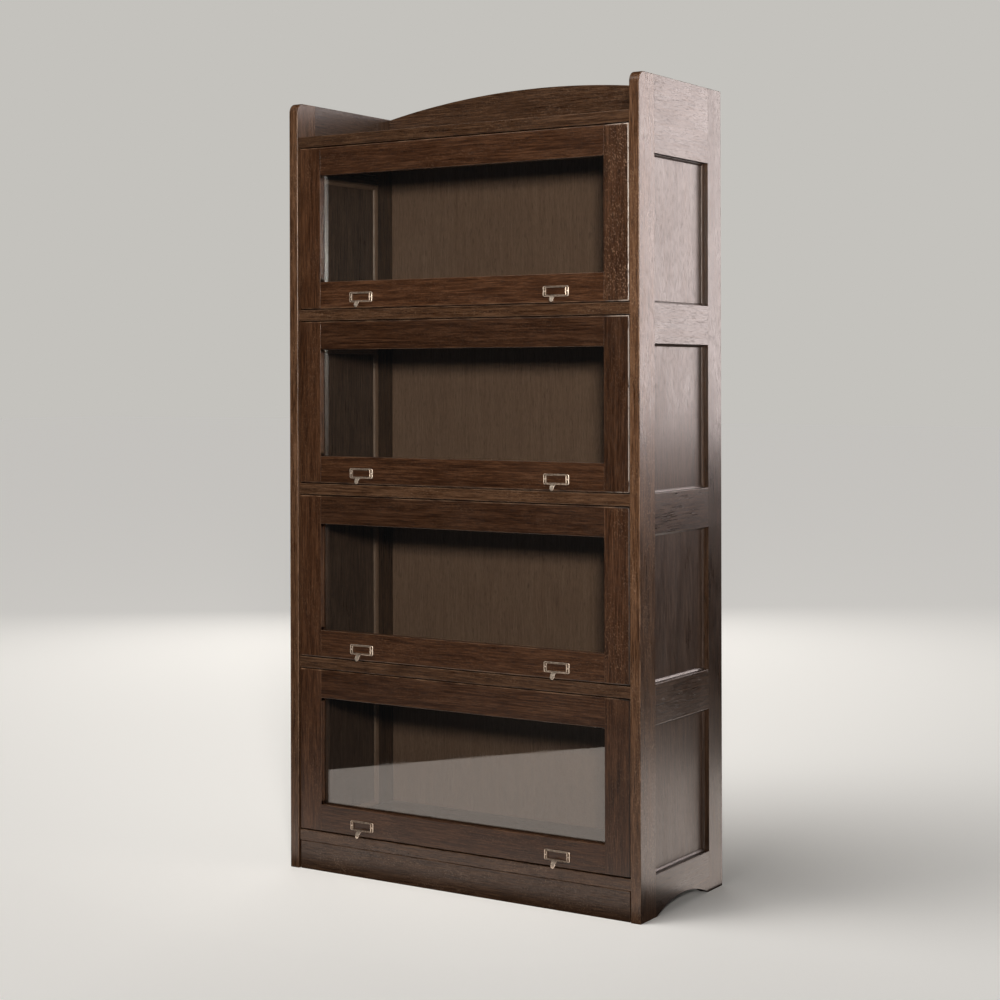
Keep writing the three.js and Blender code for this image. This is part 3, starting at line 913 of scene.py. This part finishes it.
def lamp(name, kind, place, target, watts, colour, mirrored=True):
    """A light aimed at a point, not seen by the camera. mirrored says if gloss shows it."""
    data = bpy.data.lights.new(name, kind)
    data.energy = watts
    data.color = colour
    obj = bpy.data.objects.new(name, data)
    bpy.context.scene.collection.objects.link(obj)
    obj.location = place
    aim = Vector(target) - Vector(place)
    obj.rotation_euler = aim.to_track_quat("-Z", "Y").to_euler()
    obj.visible_camera = False
    obj.visible_glossy = mirrored
    return data, obj


WARM = (1.0, 0.955, 0.90)
PINK = (1, 0.87, 0.84)
AMBER = (1.0, 0.86, 0.76)
OVERCAST = (1.0, 0.98, 0.95)

key, _ = lamp("key", "SPOT", (2.5, -3.7, 1.65), (0, 0, 1.42), 860, WARM)
key.spot_size = math.radians(47)
key.spot_blend = 1.0
key.shadow_soft_size = 0.2
# Two windows that only gloss shows: the glare on the side, from behind and from in front.
for name, place, target, watts, colour, width, height in (
    ("window", (1.75, 1.95, 1.97), (0.45, -0.05, 1.9), 88, PINK, 1.7, 2.08),
    ("side_window", (3.1, -1.9, 2.0), (0.4, -0.2, 1.6), 130, AMBER, 1.5, 1.5),
):
    light, holder = lamp(name, "AREA", place, target, watts, colour)
    light.shape = "RECTANGLE"
    light.size, light.size_y = width, height
    holder.visible_diffuse = False
top, _ = lamp("top", "AREA", (-1.2, -2.2, 3.8), (0, 0, 1.2), 20, WARM)
top.size = 1.2
behind, _ = lamp("behind", "AREA", (-2.6, 3.6, 2.4), (0, 0, 0.9), 42, WARM, mirrored=False)
behind.size = 3.0
sky, _ = lamp("sky", "SUN", (-1.5, -2, 5), (0, 0, 0), 1.75, OVERCAST, mirrored=False)
sky.angle = math.radians(40)


def background(colour, strength):
    """A background shader of the world."""
    node = tree.nodes.new("ShaderNodeBackground")
    node.inputs[0].default_value = (*colour, 1)
    node.inputs[1].default_value = strength
    return node.outputs[0]


def choice(factor, no, yes):
    """One shader or the other, by the kind of ray."""
    node = tree.nodes.new("ShaderNodeMixShader")
    for i, socket in enumerate((factor, no, yes)):
        tree.links.new(socket, node.inputs[i])
    return node.outputs[0]


# The world is dim as a light and in a mirror, and as bright as the far floor to the camera.
world = bpy.data.worlds.new("studio")
bpy.context.scene.world = world
world.use_nodes = True
tree = world.node_tree
tree.nodes.clear()
ray = tree.nodes.new("ShaderNodeLightPath").outputs
fill = background((0.95, 0.95, 0.95), 0.10)
mirrored = background((0.9, 0.9, 0.92), 0.015)
seen = background((0.552, 0.539, 0.509), 1.0)
unseen = choice(ray["Is Glossy Ray"], fill, mirrored)
output = tree.nodes.new("ShaderNodeOutputWorld")
tree.links.new(choice(ray["Is Camera Ray"], unseen, seen), output.inputs[0])

scene = bpy.context.scene
scene.view_settings.view_transform = "Standard"

# The photograph's camera: place in metres, turns in radians, lens in millimetres.
CAMERA_PLACE = (2.4426, -3.80485, 1.1385)
YAW = 0.5703
ROLL = -0.0022
LENS = 71.32
SHIFT = -0.1224
ahead = Vector((-math.sin(YAW), math.cos(YAW), 0))
across = Vector((math.cos(YAW), math.sin(YAW), 0))
up = Vector((0, 0, 1))
right = across * math.cos(ROLL) + up * math.sin(ROLL)
above = up * math.cos(ROLL) - across * math.sin(ROLL)
lens = bpy.data.cameras.new("camera")
lens.lens = LENS
lens.sensor_width = 36
lens.shift_y = SHIFT
lens.clip_end = 60
camera = bpy.data.objects.new("camera", lens)
scene.collection.objects.link(camera)
turn = Matrix((right, above, -ahead)).transposed().to_4x4()
camera.matrix_world = Matrix.Translation(CAMERA_PLACE) @ turn
scene.camera = camera

low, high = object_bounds()
